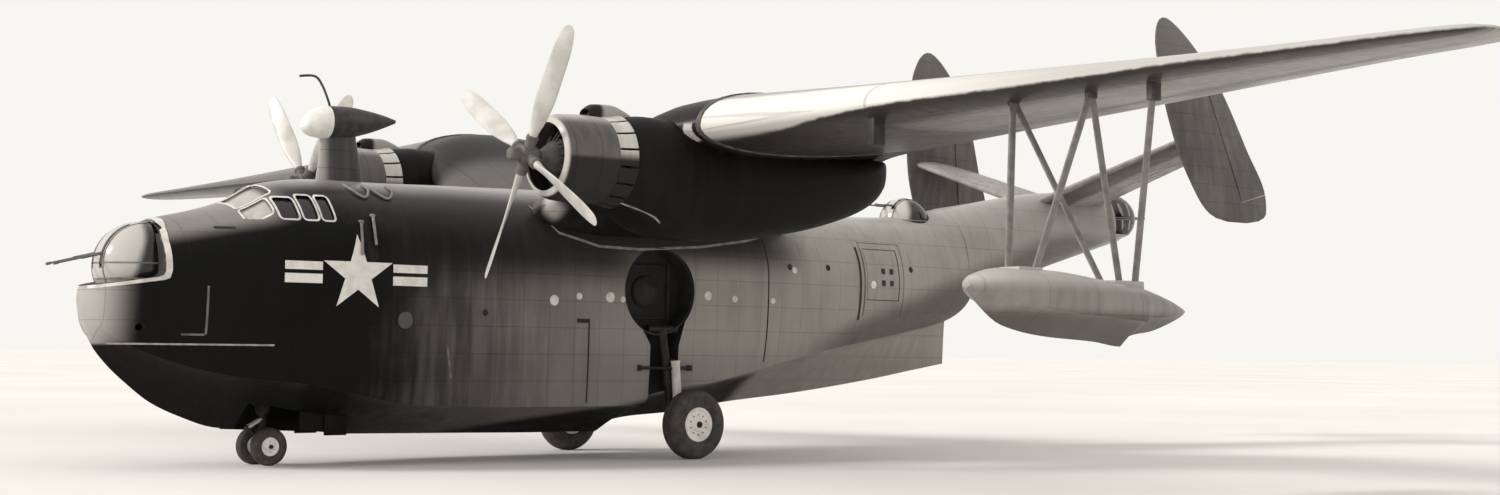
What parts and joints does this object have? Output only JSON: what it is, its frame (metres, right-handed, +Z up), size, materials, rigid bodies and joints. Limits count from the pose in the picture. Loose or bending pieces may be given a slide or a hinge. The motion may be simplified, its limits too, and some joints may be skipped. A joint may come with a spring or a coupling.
{
  "type": "twin-engine amphibian flying boat",
  "caption": "Gull-winged flying boat with a deep stepped hull, wing floats, twin fins, turrets and a tricycle landing gear, parked on its wheels",
  "frame": {"origin": "centre of the bounding box on the ground, under the hull's centre line", "axes": "+X to port, along the span; +Y aft, from the bow to the tail; +Z up"},
  "size_m": [35.97, 25.24, 8.85],
  "materials": {
    "hull_paint": "weathered satin dark paint, lighter and greyer aft",
    "canopy_paint": "satin dark paint with bright window frames",
    "glazing": "clear moulded panels, dark inside",
    "nacelle_paint": "satin dark paint, stained",
    "wing_paint": "satin grey paint, rubbed along the leading edge",
    "tail_paint": "satin dark grey paint",
    "float_paint": "satin grey paint",
    "radome_white": "matt white",
    "radome_black": "matt black",
    "gun_metal": "blued steel",
    "engine_metal": "dark cast metal",
    "blade_metal": "worn grey blades",
    "gear_metal": "greasy dark steel",
    "wheel_white": "painted white",
    "tyre": "worn black rubber"
  },
  "bodies": {
    "airframe": {"hull_bow": "hull_paint", "hull_centre": "hull_paint", "hull_aft": "hull_paint", "hull_tail": "hull_paint", "canopy_frame": "canopy_paint", "canopy_glass": "glazing", "radar_pylon": "nacelle_paint", "radome_nose": "radome_white", "radome_body": "radome_black", "nose_leg": "gear_metal", "wing_gull_left": "wing_paint", "wing_gull_right": "wing_paint", "wing_outer_left": "wing_paint", "wing_outer_right": "wing_paint", "nacelle_left": "nacelle_paint", "nacelle_right": "nacelle_paint", "cowl_left": "nacelle_paint", "cowl_right": "nacelle_paint", "engine_left": "engine_metal", "engine_right": "engine_metal", "float_left": "float_paint", "float_right": "float_paint", "float_struts_left": "float_paint", "float_struts_right": "float_paint", "tailplane_left": "tail_paint", "tailplane_right": "tail_paint", "fin_left": "tail_paint", "fin_right": "tail_paint", "main_leg_left": "gear_metal", "main_leg_right": "gear_metal", "nose_gear_door_left": "gear_metal", "nose_gear_door_right": "gear_metal"},
    "propeller_left": {"propeller_left": "blade_metal"},
    "propeller_right": {"propeller_right": "blade_metal"},
    "main_wheel_left": {"main_tyre_left": "tyre", "main_hub_left": "wheel_white"},
    "main_wheel_right": {"main_tyre_right": "tyre", "main_hub_right": "wheel_white"},
    "nose_fork": {"nose_fork": "gear_metal"},
    "nose_wheels": {"nose_tyre_left": "tyre", "nose_tyre_right": "tyre", "nose_hub_left": "wheel_white", "nose_hub_right": "wheel_white"},
    "rudder_left": {"rudder_left": "tail_paint"},
    "rudder_right": {"rudder_right": "tail_paint"},
    "elevator_left": {"elevator_left": "tail_paint"},
    "elevator_right": {"elevator_right": "tail_paint"},
    "aileron_left": {"aileron_left": "wing_paint"},
    "aileron_right": {"aileron_right": "wing_paint"},
    "flap_left": {"flap_left": "wing_paint"},
    "flap_right": {"flap_right": "wing_paint"},
    "waist_hatch_left": {"waist_hatch_left": "hull_paint"},
    "waist_hatch_right": {"waist_hatch_right": "hull_paint"},
    "bow_turret": {"bow_turret": "glazing"},
    "bow_guns": {"bow_guns": "gun_metal"},
    "dorsal_turret": {"dorsal_turret": "glazing"},
    "dorsal_guns": {"dorsal_guns": "gun_metal"},
    "tail_turret": {"tail_turret": "glazing"},
    "tail_guns": {"tail_guns": "gun_metal"}
  },
  "joints": [
    {"name": "propeller_left_spin", "type": "hinge", "parent": "airframe", "child": "propeller_left", "pos_m": [3.62, -6.59, 4.88], "axis": [0, 1, 0], "continuous": true},
    {"name": "propeller_right_spin", "type": "hinge", "parent": "airframe", "child": "propeller_right", "pos_m": [-3.62, -6.59, 4.88], "axis": [0, 1, 0], "continuous": true},
    {"name": "main_wheel_left_spin", "type": "hinge", "parent": "airframe", "child": "main_wheel_left", "pos_m": [1.91, -1.89, 0.603], "axis": [1, 0, 0], "continuous": true},
    {"name": "main_wheel_right_spin", "type": "hinge", "parent": "airframe", "child": "main_wheel_right", "pos_m": [-1.91, -1.89, 0.603], "axis": [1, 0, 0], "continuous": true},
    {"name": "nose_steering", "type": "hinge", "parent": "airframe", "child": "nose_fork", "pos_m": [0, -9.13, 0.3], "axis": [0, 0, 1], "range_deg": [-30, 30]},
    {"name": "nose_wheels_spin", "type": "hinge", "parent": "nose_fork", "child": "nose_wheels", "pos_m": [0, -9.13, 0.3], "axis": [1, 0, 0], "continuous": true},
    {"name": "rudder_left_turn", "type": "hinge", "parent": "airframe", "child": "rudder_left", "pos_m": [4.07188, 10.74844, 5.06], "axis": [-0.165, -0.2293, 0.9593], "range_deg": [-25, 25]},
    {"name": "rudder_right_turn", "type": "hinge", "parent": "airframe", "child": "rudder_right", "pos_m": [-4.07188, 10.74844, 5.06], "axis": [0.165, -0.2293, 0.9593], "range_deg": [-25, 25]},
    {"name": "elevator_left_turn", "type": "hinge", "parent": "airframe", "child": "elevator_left", "pos_m": [0.9, 10.15, 5.3907], "axis": [0.9556, 0.0259, 0.2934], "range_deg": [-25, 25]},
    {"name": "elevator_right_turn", "type": "hinge", "parent": "airframe", "child": "elevator_right", "pos_m": [-0.9, 10.15, 5.3907], "axis": [0.9556, -0.0259, -0.2934], "range_deg": [-25, 25]},
    {"name": "aileron_left_turn", "type": "hinge", "parent": "airframe", "child": "aileron_left", "pos_m": [10.65, -1.54, 5.5], "axis": [0.9829, -0.1842, 0.0035], "range_deg": [-20, 20]},
    {"name": "aileron_right_turn", "type": "hinge", "parent": "airframe", "child": "aileron_right", "pos_m": [-10.65, -1.54, 5.5], "axis": [0.9829, 0.1842, -0.0035], "range_deg": [-20, 20]},
    {"name": "flap_left_turn", "type": "hinge", "parent": "airframe", "child": "flap_left", "pos_m": [4.7, 0.02, 5.345], "axis": [-0.9778, 0.2088, -0.0166], "range_deg": [0, 40]},
    {"name": "flap_right_turn", "type": "hinge", "parent": "airframe", "child": "flap_right", "pos_m": [-4.7, 0.02, 5.345], "axis": [-0.9778, -0.2088, 0.0166], "range_deg": [0, 40]},
    {"name": "waist_hatch_left_swing", "type": "hinge", "parent": "airframe", "child": "waist_hatch_left", "pos_m": [1.292, 2.8405, 3.4], "axis": [0, 0, -1], "range_deg": [0, 90]},
    {"name": "waist_hatch_right_swing", "type": "hinge", "parent": "airframe", "child": "waist_hatch_right", "pos_m": [-1.292, 2.8405, 3.4], "axis": [0, 0, 1], "range_deg": [0, 90]},
    {"name": "bow_turret_turn", "type": "hinge", "parent": "airframe", "child": "bow_turret", "pos_m": [0, -11.23, 3.08], "axis": [0, 0, 1], "range_deg": [-70, 70]},
    {"name": "bow_guns_raise", "type": "hinge", "parent": "bow_turret", "child": "bow_guns", "pos_m": [0, -11.23, 3.42], "axis": [-1, 0, 0], "range_deg": [-10, 55]},
    {"name": "dorsal_turret_turn", "type": "hinge", "parent": "airframe", "child": "dorsal_turret", "pos_m": [0, 5.04, 4.54], "axis": [0, 0, 1], "range_deg": [-110, 110]},
    {"name": "dorsal_guns_raise", "type": "hinge", "parent": "dorsal_turret", "child": "dorsal_guns", "pos_m": [0, 5.04, 4.88], "axis": [-1, 0, 0], "range_deg": [-2, 70]},
    {"name": "tail_turret_turn", "type": "hinge", "parent": "airframe", "child": "tail_turret", "pos_m": [0, 11.6, 4.96], "axis": [0, 0, 1], "range_deg": [-45, 45]},
    {"name": "tail_guns_raise", "type": "hinge", "parent": "tail_turret", "child": "tail_guns", "pos_m": [0, 11.6, 5.02], "axis": [1, 0, 0], "range_deg": [-25, 35]}
  ],
  "couplings": [
    {"joint": "rudder_right_turn", "follows": "rudder_left_turn", "ratio": 1},
    {"joint": "elevator_right_turn", "follows": "elevator_left_turn", "ratio": 1},
    {"joint": "aileron_right_turn", "follows": "aileron_left_turn", "ratio": -1},
    {"joint": "flap_right_turn", "follows": "flap_left_turn", "ratio": 1}
  ]
}
